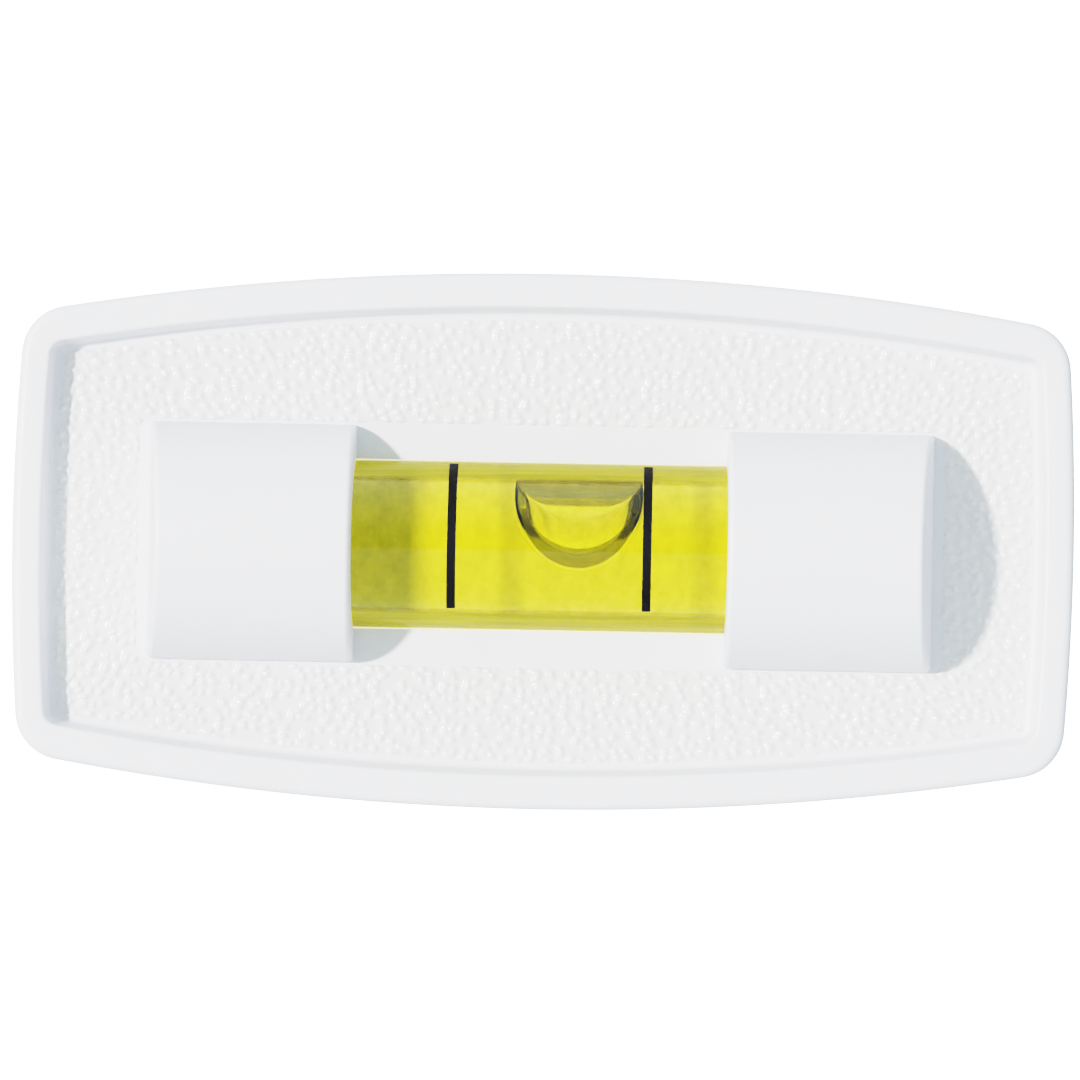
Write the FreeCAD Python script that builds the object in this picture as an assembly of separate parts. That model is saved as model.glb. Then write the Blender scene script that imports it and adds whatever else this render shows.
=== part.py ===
import FreeCAD, Part
import math
import os

# Stick-on bubble level: a white moulded housing that shows a short stretch of a liquid vial between two
# half-round covers, closed by a back plate and carried on a double-sided foam pad.
#
# Millimetres. +X runs to the right along the level, +Z is up, and +Y points into the wall that the level
# is stuck to, so the front faces -Y. The origin is the middle of the foam pad's outer adhesive face.
# A "height" below is a distance in front of that face, which is -Y.

Vector = FreeCAD.Vector

# Housing outline: four shallow arcs with rounded corners
half_length = 30.0
half_width = 15.15
end_bow = 0.52
side_bow = 2.71
outline_corner = 2.8
front_edge_round = 0.5

# Stack of heights, from the wall outwards
adhesive_thickness = 0.05
pad_thickness = 1.1
plate_thickness = 1.0
panel_thickness = 1.6
panel_height = 7.0
rim_rise = 2.1

# Housing walls
rim_at_ends = 1.65
rim_at_sides = 1.95
recess_corner = 1.5
recess_draft = 8.0
skirt_wall = 1.6
skirt_corner = 1.4
plate_gap = 0.1
pad_inset = 0.8
pad_corner = 2.2

# Vial barrel and its bore, which is ground to a long arc so that the bubble seeks the top
vial_radius = 4.72
vial_half_length = 19.6
vial_drop = 0.3
vial_shift = 0.4
vial_roll = 14.0
vial_edge_chamfer = 0.3
bore_radius = 2.9
bore_half_length = 16.0
bore_arc_radius = 300.0
plug_socket_radius = 3.4
plug_gap = 0.02
plug_end_recess = 0.1
seal_radius = 3.9
seal_depth = 0.4

# Index lines printed on the barrel
line_spacing = 11.0
line_width = 0.5
line_thickness = 0.05
line_half_angle = 62.0

# Bubble, an ellipsoid pressed against the top of the bore
bubble_offset = 1.6
bubble_half_length = 3.73
bubble_half_depth = 2.45
bubble_half_height = 2.97
bubble_centre_height = 2.0
bubble_bore_gap = 0.1
bubble_side_gap = 0.37
film_gap = 0.03

# Half-round covers over the vial's ends
cover_radius = 6.72
cover_shift = -0.16
cover_inner_end = 10.48
cover_outer_end = 22.24
cover_inner_draft = 1.2
cover_outer_draft = 6.0
cover_edge_round = 0.25
cover_end_wall = 1.5
vial_clearance = 0.08
well_wall = 1.4

# Saddles and glue that hold the vial from behind
saddle_positions = (12.6, 16.8)
saddle_thickness = 1.4
saddle_half_width = 3.4
saddle_height = 1.5
saddle_gap = 0.02
glue_half_width = 2.4
glue_height = 1.0

# Pegs, peg holes and stiffening ribs
peg_radius = 1.0
peg_x = 25.0
peg_z = 8.6
peg_boss_radius = 1.9
peg_hole_gap = 0.02
peg_end_recess = 0.2
rib_positions = (-16.0, -5.5, 5.5, 16.0)
rib_thickness = 1.0
rib_depth = 2.4

# Worked-out levels
plate_front = pad_thickness + plate_thickness
panel_back = panel_height - panel_thickness
rim_height = panel_height + rim_rise
over_cut = 1.0


def box(x_low, x_high, z_low, z_high, low, high):
    """A block between two heights in front of the wall."""
    corner = Vector(x_low, -high, z_low)
    return Part.makeBox(x_high - x_low, high - low, z_high - z_low, corner)


def post(radius, x, z, low, high):
    """A round post that stands away from the wall, between two heights."""
    return Part.makeCylinder(radius, high - low, Vector(x, -low, z), Vector(0, -1, 0))


def vial_point(along=0.0, radial=0.0):
    """A point at a distance along the vial from its middle, and above its axis."""
    return Vector(vial_shift + along, -panel_height, radial - vial_drop)


def vial_cylinder(radius, x_low, x_high):
    """A cylinder on the vial's axis between two places along the level."""
    base = Vector(x_low, -panel_height, -vial_drop)
    return Part.makeCylinder(radius, x_high - x_low, base, Vector(1, 0, 0))


def outline_face(inset_x, inset_z, height):
    """The housing's outline, drawn in by two insets, as a flat face at one height."""
    length = half_length - inset_x
    width = half_width - inset_z
    corner_x = length - end_bow
    corner_z = width - side_bow
    corners = [Vector(-corner_x, -height, corner_z), Vector(corner_x, -height, corner_z),
               Vector(corner_x, -height, -corner_z), Vector(-corner_x, -height, -corner_z)]
    crowns = [Vector(0, -height, width), Vector(length, -height, 0),
              Vector(0, -height, -width), Vector(-length, -height, 0)]
    edges = []
    for index in range(4):
        arc = Part.Arc(corners[index], crowns[index], corners[(index + 1) % 4])
        edges.append(arc.toShape())
    return Part.Face(Part.Wire(edges))


def outline_block(inset_x, inset_z, corner, low, high):
    """The outline with rounded corners, as a block between two heights."""
    block = outline_face(inset_x, inset_z, low).extrude(Vector(0, low - high, 0))
    uprights = [edge for edge in block.Edges if edge.BoundBox.YLength > 0.5 * (high - low)]
    return block.makeFillet(corner, uprights)


def outline_wire(inset_x, inset_z, corner, height):
    """The rounded outline as a wire at one height."""
    block = outline_block(inset_x, inset_z, corner, height, height + 1.0)
    back = [face for face in block.Faces if abs(face.CenterOfMass.y + height) < 1e-6]
    return back[0].OuterWire


def housing_block():
    """The housing's outside as a solid block with its front edge rounded."""
    block = outline_block(0.0, 0.0, outline_corner, pad_thickness, rim_height)
    front = [edge for edge in block.Edges if abs(edge.CenterOfMass.y + rim_height) < 1e-6]
    return block.makeFillet(front_edge_round, front)


def recess_block():
    """The shallow recess inside the raised rim, opening slightly towards the front."""
    slope = math.tan(math.radians(recess_draft))
    floor_in = rim_rise * slope
    mouth_out = over_cut * slope
    floor = outline_wire(rim_at_ends + floor_in, rim_at_sides + floor_in, recess_corner, panel_height)
    mouth = outline_wire(rim_at_ends - mouth_out, rim_at_sides - mouth_out, recess_corner + floor_in,
                         rim_height + over_cut)
    return Part.makeLoft([floor, mouth], True, True)


def cover(side):
    """One half-round cover: its two ends lean inwards so that it leaves the mould."""
    crest = panel_height + cover_radius
    lean_inner = cover_radius * math.tan(math.radians(cover_inner_draft))
    lean_outer = cover_radius * math.tan(math.radians(cover_outer_draft))
    places = [(cover_inner_end, panel_height), (cover_outer_end, panel_height),
              (cover_outer_end - lean_outer, crest), (cover_inner_end + lean_inner, crest)]
    low_z = -vial_drop - cover_radius
    points = [Vector(cover_shift + side * x, -height, low_z) for x, height in places]
    wedge = Part.Face(Part.makePolygon(points + points[:1])).extrude(Vector(0, 0, 2 * cover_radius))
    ends = sorted((cover_shift + side * cover_inner_end, cover_shift + side * cover_outer_end))
    half_round = wedge.common(vial_cylinder(cover_radius, ends[0], ends[1]))
    end_arcs = [edge for edge in half_round.Edges
                if edge.BoundBox.YLength > 0.5 * cover_radius and edge.BoundBox.ZLength > cover_radius]
    return half_round.makeFillet(cover_edge_round, end_arcs)


def vial_well_space():
    """The space that the vial drops into from behind: half round in front, straight-sided behind."""
    radius = vial_radius + vial_clearance
    reach = cover_outer_end - cover_end_wall
    low_x = cover_shift - reach
    high_x = cover_shift + reach
    round_part = vial_cylinder(radius, low_x, high_x)
    straight_part = box(low_x, high_x, -vial_drop - radius, -vial_drop + radius, pad_thickness, panel_height)
    return round_part.fuse(straight_part)


def rib_across(x, side):
    """A stiffening rib behind the panel, from the vial well out to the skirt."""
    near = well_wall + vial_radius
    inner = side * near - vial_drop
    outer = side * (half_width - skirt_wall)
    low_z = min(inner, outer)
    high_z = max(inner, outer)
    return box(x - rib_thickness / 2, x + rib_thickness / 2, low_z, high_z, panel_back - rib_depth, panel_back)


def peg_places():
    """The four peg positions."""
    return [(x, z) for x in (-peg_x, peg_x) for z in (-peg_z, peg_z)]


def front_housing():
    """The one-piece front moulding: skirt, rim, panel, covers, vial well, ribs and pegs."""
    well_half = vial_radius + vial_clearance + well_wall
    shell = housing_block()
    shell = shell.cut(outline_block(skirt_wall, skirt_wall, skirt_corner, pad_thickness - over_cut, panel_back))
    shell = shell.cut(recess_block())
    additions = [cover(-1), cover(1)]
    additions.append(box(cover_shift - cover_outer_end, cover_shift + cover_outer_end,
                         -vial_drop - well_half, -vial_drop + well_half, plate_front, panel_back))
    for x in rib_positions:
        additions.append(rib_across(x, 1))
        additions.append(rib_across(x, -1))
    for x, z in peg_places():
        additions.append(post(peg_boss_radius, x, z, plate_front, panel_back))
        additions.append(post(peg_radius, x, z, pad_thickness + peg_end_recess, panel_back))
    ribs = additions[0].fuse(additions[1:])
    reach = skirt_wall / 2
    limit = outline_block(reach, reach, skirt_corner, pad_thickness, rim_height + cover_radius)
    shell = shell.fuse(ribs.common(limit)).cut(vial_well_space())
    return shell.removeSplitter()


def back_plate():
    """The plate that closes the housing behind the vial, with peg holes and vial saddles."""
    inset = skirt_wall + plate_gap
    plate = outline_block(inset, inset, skirt_corner - plate_gap, pad_thickness, plate_front)
    saddles = []
    for side in (-1, 1):
        for start in saddle_positions:
            ends = sorted((side * start, side * (start + saddle_thickness)))
            saddles.append(box(ends[0], ends[1], -vial_drop - saddle_half_width,
                               -vial_drop + saddle_half_width, plate_front, plate_front + saddle_height))
    plate = plate.fuse(saddles)
    plate = plate.cut(vial_cylinder(vial_radius + saddle_gap, -vial_half_length, vial_half_length))
    for x, z in peg_places():
        plate = plate.cut(post(peg_radius + peg_hole_gap, x, z, pad_thickness - over_cut, plate_front + over_cut))
    return plate


def glue_dab(side):
    """The dab of glue between two saddles that keeps the vial from turning."""
    start = saddle_positions[0] + saddle_thickness
    ends = sorted((side * start, side * saddle_positions[1]))
    dab = box(ends[0], ends[1], -vial_drop - glue_half_width, -vial_drop + glue_half_width,
              plate_front, plate_front + glue_height)
    return dab.cut(vial_cylinder(vial_radius, -vial_half_length, vial_half_length))


def bore_end_radius():
    """The bore's radius at its two ends, where the long arc has come in."""
    fall = bore_arc_radius - math.sqrt(bore_arc_radius ** 2 - bore_half_length ** 2)
    return bore_radius - fall


def turned(points_before, arc_points, points_after):
    """A solid turned about the vial's axis from straight runs with one long arc between them."""
    edges = []
    for run in (points_before, points_after):
        for start, end in zip(run, run[1:]):
            edges.append(Part.makeLine(start, end))
    edges.append(Part.Arc(*arc_points).toShape())
    outline = Part.Wire(Part.__sortEdges__(edges))
    return Part.Face(outline).revolve(vial_point(), Vector(1, 0, 0), 360)


def bore_arc():
    """The three points of the bore's long arc, left to right."""
    end_radius = bore_end_radius()
    return [vial_point(-bore_half_length, end_radius), vial_point(0, bore_radius),
            vial_point(bore_half_length, end_radius)]


def vial_barrel():
    """The clear barrel: closed at the left, with a plug socket and a sealing groove at the right."""
    arc = bore_arc()
    end = vial_half_length
    chamfer = vial_edge_chamfer
    left_run = [arc[0], vial_point(-bore_half_length, 0), vial_point(-end, 0),
                vial_point(-end, vial_radius - chamfer), vial_point(-end + chamfer, vial_radius),
                vial_point(end - chamfer, vial_radius), vial_point(end, vial_radius - chamfer),
                vial_point(end, seal_radius), vial_point(end - seal_depth, seal_radius),
                vial_point(end - seal_depth, plug_socket_radius),
                vial_point(bore_half_length, plug_socket_radius), arc[2]]
    return turned(left_run, arc, [])


def vial_end_plug():
    """The clear plug pushed into the barrel's open end."""
    length = vial_half_length - bore_half_length - plug_end_recess
    return Part.makeCylinder(plug_socket_radius - plug_gap, length, vial_point(bore_half_length), Vector(1, 0, 0))


def plug_seal_ring():
    """The ring of cured sealant in the groove round the plug."""
    base = vial_point(vial_half_length - seal_depth)
    outer = Part.makeCylinder(seal_radius, seal_depth, base, Vector(1, 0, 0))
    inner = Part.makeCylinder(plug_socket_radius - plug_gap, seal_depth, base, Vector(1, 0, 0))
    return outer.cut(inner)


def bubble_shape(growth):
    """The bubble, grown evenly all round by a small amount."""
    centre = vial_point(bubble_offset, bubble_centre_height)
    ball = Part.makeSphere(1.0)
    stretch = FreeCAD.Matrix()
    stretch.scale(bubble_half_length + growth, bubble_half_depth + growth, bubble_half_height + growth)
    ellipsoid = ball.transformGeometry(stretch)
    ellipsoid.translate(centre)
    radius = bore_radius - bubble_side_gap + growth
    lift = bubble_side_gap - bubble_bore_gap
    start = vial_point(bubble_offset - 2 * bubble_half_length, lift)
    passage = Part.makeCylinder(radius, 4 * bubble_half_length, start, Vector(1, 0, 0))
    return ellipsoid.common(passage)


def vial_fluid():
    """The tinted spirit that fills the bore round the bubble."""
    arc = bore_arc()
    axis_run = [arc[0], vial_point(-bore_half_length, 0), vial_point(bore_half_length, 0), arc[2]]
    return turned(axis_run, arc, []).cut(bubble_shape(film_gap))


def index_line(side):
    """One index line: a thin printed band round the front of the barrel."""
    start = vial_point(side * line_spacing / 2 - line_width / 2)
    axis = Vector(1, 0, 0)
    outer = Part.makeCylinder(vial_radius + line_thickness, line_width, start, axis)
    inner = Part.makeCylinder(vial_radius, line_width, start, axis)
    band = outer.cut(inner)
    reach = 2 * vial_radius
    places = [start]
    for step in (-1, 0, 1):
        angle = math.radians(vial_roll + step * line_half_angle)
        places.append(start + Vector(0, -reach * math.cos(angle), reach * math.sin(angle)))
    wedge = Part.Face(Part.makePolygon(places + places[:1])).extrude(Vector(line_width, 0, 0))
    return band.common(wedge)


def pad_layer(low, high):
    """One layer of the stick-on pad between two heights."""
    return outline_block(pad_inset, pad_inset, pad_corner, low, high)


def all_parts():
    """Every sub-part of the level by name."""
    return {
        "front_housing": front_housing(),
        "back_plate": back_plate(),
        "glue_dab_left": glue_dab(-1),
        "glue_dab_right": glue_dab(1),
        "vial_barrel": vial_barrel(),
        "vial_end_plug": vial_end_plug(),
        "plug_seal_ring": plug_seal_ring(),
        "vial_fluid": vial_fluid(),
        "vial_bubble": bubble_shape(0.0),
        "index_line_left": index_line(-1),
        "index_line_right": index_line(1),
        "pad_adhesive_front": pad_layer(pad_thickness - adhesive_thickness, pad_thickness),
        "foam_pad": pad_layer(adhesive_thickness, pad_thickness - adhesive_thickness),
        "pad_adhesive_back": pad_layer(0.0, adhesive_thickness),
    }


os.makedirs("parts", exist_ok=True)
for name, shape in all_parts().items():
    shape.exportStep("parts/" + name + ".step")
    print(name, "solids", len(shape.Solids), "valid", shape.isValid(), "volume", round(shape.Volume, 3))
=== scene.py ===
"""Looks of a small stick-on bubble level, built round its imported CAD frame.

Sizes are millimetres in the frame's own axes: +X runs along the level, +Z is up, and the front faces -Y.
A height is a distance in front of the adhesive face, which is -Y.
"""

import logging
import math
from dataclasses import dataclass, field
from enum import Enum

import bmesh
import bpy
import numpy as np
from mathutils import Matrix, Vector


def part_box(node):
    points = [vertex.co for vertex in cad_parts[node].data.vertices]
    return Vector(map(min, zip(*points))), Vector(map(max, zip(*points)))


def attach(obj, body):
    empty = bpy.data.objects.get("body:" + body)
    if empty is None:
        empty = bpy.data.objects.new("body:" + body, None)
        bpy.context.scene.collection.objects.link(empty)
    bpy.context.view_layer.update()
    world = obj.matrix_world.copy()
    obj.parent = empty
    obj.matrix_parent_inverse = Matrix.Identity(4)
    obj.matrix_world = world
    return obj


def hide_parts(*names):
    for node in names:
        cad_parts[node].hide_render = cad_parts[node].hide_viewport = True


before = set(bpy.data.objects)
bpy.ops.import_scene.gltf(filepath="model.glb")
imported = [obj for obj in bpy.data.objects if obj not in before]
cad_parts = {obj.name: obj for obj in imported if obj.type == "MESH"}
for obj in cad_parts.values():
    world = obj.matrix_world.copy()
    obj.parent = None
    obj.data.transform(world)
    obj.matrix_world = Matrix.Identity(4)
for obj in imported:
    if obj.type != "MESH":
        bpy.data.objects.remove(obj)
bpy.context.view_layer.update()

MM = 0.001
MIX_FROM, MIX_TO, MIX_RESULT = 6, 7, 2  # a Mix node's colour sockets
log = logging.getLogger("bubble_level")

Colour = tuple[float, float, float]
Point = tuple[float, float, float]


class Body(Enum):
    """The frame's bodies."""

    LEVEL = "level_body"
    BUBBLE = "bubble"


class Slot(Enum):
    """The record's material slots."""

    HOUSING = "housing_white"
    PLATE = "plate_white"
    ACRYLIC = "clear_acrylic"
    SPIRIT = "yellow_spirit"
    AIR = "bubble_air"
    INK = "black_ink"
    SEALANT = "sealant"
    GLUE = "hot_glue"
    FOAM = "pad_foam"
    ADHESIVE = "pad_adhesive"


class Join(Enum):
    """How one solid is combined with another."""

    ADD = "UNION"
    CUT = "DIFFERENCE"


# ---------------------------------------------------------------- node wiring


class Wiring:
    """Adds nodes to a tree and links them by socket name."""

    def __init__(self, tree: bpy.types.NodeTree) -> None:
        """Empties the tree and starts on it.

        Args:
            tree: the node tree to fill.
        """
        self.tree = tree
        tree.nodes.clear()

    def add(self, kind: str, inputs: dict | None = None, **settings: object) -> bpy.types.Node:
        """Adds one node.

        Args:
            kind: the node's type name.
            inputs: values for its input sockets, by name or index.
            settings: values for its own properties.

        Returns:
            The new node.
        """
        node = self.tree.nodes.new(kind)
        for name, value in settings.items():
            setattr(node, name, value)
        for name, value in (inputs or {}).items():
            node.inputs[name].default_value = value
        return node

    def link(self, source: bpy.types.Node, output: str | int, target: bpy.types.Node, entry: str | int) -> None:
        """Links an output of one node to an input of another."""
        self.tree.links.new(source.outputs[output], target.inputs[entry])

    def math(self, operation: str, *terms: object) -> bpy.types.NodeSocket:
        """Adds a math node.

        Args:
            operation: what the node does.
            terms: its inputs, each a number or the output of another node.

        Returns:
            The node's output.
        """
        node = self.add("ShaderNodeMath", operation=operation)
        for entry, term in zip(node.inputs, terms):
            if isinstance(term, bpy.types.NodeSocket):
                self.tree.links.new(term, entry)
            else:
                entry.default_value = term
        return node.outputs["Value"]


def blank_material(name: str) -> tuple[bpy.types.Material, Wiring, bpy.types.Node, bpy.types.Node]:
    """Makes a material that holds a Principled shader and nothing else.

    Args:
        name: the material's name.

    Returns:
        The material, its wiring, the shader node and the output node.
    """
    material = bpy.data.materials.new(name)
    material.use_nodes = True
    wiring = Wiring(material.node_tree)
    shader = wiring.add("ShaderNodeBsdfPrincipled")
    output = wiring.add("ShaderNodeOutputMaterial")
    wiring.link(shader, "BSDF", output, "Surface")
    return material, wiring, shader, output


def noise(wiring: Wiring, size_mm: float, detail: float = 3.0, stretch: Point = (1.0, 1.0, 1.0)) -> bpy.types.Node:
    """Adds a noise pattern on object coordinates.

    Args:
        wiring: the material's wiring.
        size_mm: the size of one blot.
        detail: how many finer layers the noise has.
        stretch: how much the pattern is squeezed along each axis.

    Returns:
        The noise node.
    """
    place = wiring.add("ShaderNodeTexCoord")
    mapping = wiring.add("ShaderNodeMapping", {"Scale": stretch})
    pattern = wiring.add("ShaderNodeTexNoise", {"Scale": 1.0 / (size_mm * MM), "Detail": detail})
    wiring.link(place, "Object", mapping, "Vector")
    wiring.link(mapping, "Vector", pattern, "Vector")
    return pattern


def shade_between(wiring: Wiring, factor: bpy.types.Node, low: Colour, high: Colour) -> bpy.types.Node:
    """Mixes two colours by a pattern.

    Args:
        wiring: the material's wiring.
        factor: the pattern node, read at its Fac output.
        low: the colour where the pattern is dark.
        high: the colour where the pattern is light.

    Returns:
        The colour ramp node.
    """
    ramp = wiring.add("ShaderNodeValToRGB")
    ramp.color_ramp.elements[0].position = 0.3
    ramp.color_ramp.elements[1].position = 0.7
    ramp.color_ramp.elements[0].color = (*low, 1.0)
    ramp.color_ramp.elements[1].color = (*high, 1.0)
    wiring.link(factor, "Fac", ramp, "Fac")
    return ramp


def spread_roughness(wiring: Wiring, pattern: bpy.types.Node, shader: bpy.types.Node, low: float, high: float) -> None:
    """Lets a pattern move the shader's roughness.

    Args:
        wiring: the material's wiring.
        pattern: the pattern node, read at its Fac output.
        shader: the Principled shader.
        low: the roughness where the pattern is dark.
        high: the roughness where the pattern is light.
    """
    spread = wiring.add("ShaderNodeMapRange", {"From Min": 0.3, "From Max": 0.7, "To Min": low, "To Max": high})
    wiring.link(pattern, "Fac", spread, "Value")
    wiring.link(spread, "Result", shader, "Roughness")


def add_bump(wiring: Wiring, height: bpy.types.NodeSocket, shader: bpy.types.Node, depth_mm: float) -> None:
    """Raises a pattern on the surface.

    Args:
        wiring: the material's wiring.
        height: the pattern's output.
        shader: the Principled shader.
        depth_mm: how far the pattern stands out, in millimetres.
    """
    bump = wiring.add("ShaderNodeBump", {"Strength": 1.0, "Distance": depth_mm * MM})
    wiring.tree.links.new(height, bump.inputs["Height"])
    wiring.link(bump, "Normal", shader, "Normal")


def scaled(colour: Colour, factor: float) -> Colour:
    """A colour made darker or lighter."""
    return tuple(min(1.0, channel * factor) for channel in colour)


# ---------------------------------------------------------------- finishes


@dataclass(frozen=True)
class MouldedPlastic:
    """White moulded plastic with a faint flow mottle and a fine spark-eroded surface.

    Its glow is painted light: an emission that stands in for the light that comes through a thin wall from the other
    side.
    """

    name: str
    tone: Colour
    mottle: float = 0.012
    mottle_mm: float = 2.4
    gloss_low: float = 0.34
    gloss_high: float = 0.5
    texture_mm: float = 0.11
    texture_depth_mm: float = 0.0025
    glow: Colour = (0.0, 0.0, 0.0)

    def material(self) -> bpy.types.Material:
        """Builds the material.

        Returns:
            The finished material.
        """
        material, wiring, shader, _ = blank_material(self.name)
        clouds = noise(wiring, self.mottle_mm)
        ramp = shade_between(wiring, clouds, scaled(self.tone, 1 - self.mottle), scaled(self.tone, 1 + self.mottle))
        wiring.link(ramp, "Color", shader, "Base Color")
        fine = noise(wiring, self.texture_mm, detail=2.0)
        spread_roughness(wiring, fine, shader, self.gloss_low, self.gloss_high)
        add_bump(wiring, fine.outputs["Fac"], shader, self.texture_depth_mm)
        # Painted light: the glow is an emission on the surface, not a lamp.
        if max(self.glow) > 0.0:
            shader.inputs["Emission Color"].default_value = (*self.glow, 1.0)
            shader.inputs["Emission Strength"].default_value = 1.0
        return material


@dataclass(frozen=True)
class ClearGlassy:
    """A clear body whose light bends by the ratio of the two substances that meet at the face."""

    name: str
    ratio: float
    tint: Colour = (0.995, 0.995, 0.99)
    smear: float = 0.02
    smear_mm: float = 3.0

    def material(self) -> bpy.types.Material:
        """Builds the material.

        Returns:
            The finished material.
        """
        material, wiring, shader, _ = blank_material(self.name)
        shader.inputs["Transmission Weight"].default_value = 1.0
        shader.inputs["IOR"].default_value = self.ratio
        clouds = noise(wiring, self.smear_mm)
        ramp = shade_between(wiring, clouds, scaled(self.tint, 0.99), self.tint)
        wiring.link(ramp, "Color", shader, "Base Color")
        spread_roughness(wiring, clouds, shader, 0.0, self.smear)
        return material


@dataclass(frozen=True)
class BarrelAcrylic:
    """The barrel's clear acrylic, with painted shade along its two long edges: a dim olive colour, partly opaque, that
    stands in for the shaded, spirit-lit well walls seen through them.
    """

    name: str
    ratio: float
    axis_height: float
    radius: float
    clear_tint: Colour = (0.995, 0.995, 0.985)
    edge_shade_tint: Colour = (0.52, 0.45, 0.035)
    edge_start: float = 0.74
    edge_middle: float = 0.775
    edge_full: float = 0.82
    edge_clearness: float = 0.25
    streak_mm: float = 0.35
    streak_stretch: Point = (0.05, 1.0, 1.0)
    shine: float = 0.0
    smear: float = 0.02
    smear_mm: float = 3.0

    def material(self) -> bpy.types.Material:
        """Builds the material.

        Returns:
            The finished material.
        """
        material, wiring, shader, _ = blank_material(self.name)
        shader.inputs["Transmission Weight"].default_value = 1.0
        shader.inputs["IOR"].default_value = self.ratio
        shader.inputs["Specular IOR Level"].default_value = self.shine
        off_axis = self.off_axis(wiring)
        # Painted shade: towards the long edges the colour turns dim olive and the acrylic turns partly opaque.
        edge = self.change(wiring, off_axis, (self.edge_start, self.edge_middle), (0.0, 1.0), "SMOOTHSTEP")
        clearness = self.change(wiring, off_axis, (self.edge_middle, self.edge_full), (1.0, self.edge_clearness),
                                "LINEAR")
        streaks = noise(wiring, self.streak_mm, stretch=self.streak_stretch)
        painted_edge_shade = shade_between(wiring, streaks, scaled(self.edge_shade_tint, 0.8), scaled(self.edge_shade_tint, 1.15))
        tint = wiring.add("ShaderNodeMix", data_type="RGBA")
        tint.inputs[MIX_FROM].default_value = (*self.clear_tint, 1.0)
        wiring.link(edge, "Result", tint, 0)
        wiring.link(painted_edge_shade, "Color", tint, MIX_TO)
        wiring.link(tint, MIX_RESULT, shader, "Base Color")
        wiring.link(clearness, "Result", shader, "Transmission Weight")
        spread_roughness(wiring, noise(wiring, self.smear_mm), shader, 0.0, self.smear)
        return material

    def off_axis(self, wiring: Wiring) -> bpy.types.NodeSocket:
        """Adds how far above or below the barrel's axis a point is.

        Args:
            wiring: the material's wiring.

        Returns:
            The distance in metres.
        """
        place = wiring.add("ShaderNodeTexCoord")
        parts = wiring.add("ShaderNodeSeparateXYZ")
        wiring.link(place, "Object", parts, "Vector")
        above = wiring.math("SUBTRACT", parts.outputs["Z"], self.axis_height)
        return wiring.math("ABSOLUTE", above)

    def change(self, wiring: Wiring, off_axis: bpy.types.NodeSocket, between: tuple[float, float],
               values: tuple[float, float], ease: str) -> bpy.types.Node:
        """Adds a value that changes towards the barrel's long edges.

        Args:
            wiring: the material's wiring.
            off_axis: the distance from the axis.
            between: where the change starts and ends, as shares of the radius.
            values: the value before and after it.
            ease: LINEAR or SMOOTHSTEP.

        Returns:
            The node, read at its Result output.
        """
        ramp = wiring.add("ShaderNodeMapRange", {"From Min": between[0] * self.radius,
                                                 "From Max": between[1] * self.radius,
                                                 "To Min": values[0], "To Max": values[1]},
                          interpolation_type=ease)
        wiring.tree.links.new(off_axis, ramp.inputs["Value"])
        return ramp


@dataclass(frozen=True)
class TintedSpirit:
    """Tinted spirit: its colour deepens with the length of the path through it. Its base colour carries painted
    caustic light, a mottle of darker and lighter patches that stands in for the light the barrel focuses.
    """

    name: str
    colour: Colour
    density_per_mm: float
    caustic_mottle_mm: float = 0.8
    caustic_mottle_detail: float = 6.0
    caustic_mottle_tint: Colour = (0.66, 0.7, 0.5)

    def material(self) -> bpy.types.Material:
        """Builds the material.

        Returns:
            The finished material.
        """
        material, wiring, shader, output = blank_material(self.name)
        shader.inputs["Transmission Weight"].default_value = 1.0
        shader.inputs["IOR"].default_value = 1.0
        shader.inputs["Roughness"].default_value = 0.0
        # Painted caustic light: the noise mottles the spirit's colour in darker and lighter patches.
        clouds = noise(wiring, self.caustic_mottle_mm, detail=self.caustic_mottle_detail)
        ramp = shade_between(wiring, clouds, self.caustic_mottle_tint, (1.0, 1.0, 1.0))
        wiring.link(ramp, "Color", shader, "Base Color")
        depth = wiring.add("ShaderNodeVolumeAbsorption",
                           {"Color": (*self.colour, 1.0), "Density": self.density_per_mm / MM})
        wiring.link(depth, "Volume", output, "Volume")
        return material


@dataclass(frozen=True)
class PrintedInk:
    """Black printed ink with a dry, slightly uneven film."""

    name: str
    tone: Colour = (0.004, 0.004, 0.005)
    film_mm: float = 0.18
    film_depth_mm: float = 0.004
    shine: float = 0.15

    def material(self) -> bpy.types.Material:
        """Builds the material.

        Returns:
            The finished material.
        """
        material, wiring, shader, _ = blank_material(self.name)
        film = noise(wiring, self.film_mm)
        ramp = shade_between(wiring, film, scaled(self.tone, 0.6), scaled(self.tone, 2.2))
        wiring.link(ramp, "Color", shader, "Base Color")
        spread_roughness(wiring, film, shader, 0.6, 0.9)
        add_bump(wiring, film.outputs["Fac"], shader, self.film_depth_mm)
        shader.inputs["Specular IOR Level"].default_value = self.shine
        return material


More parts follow.
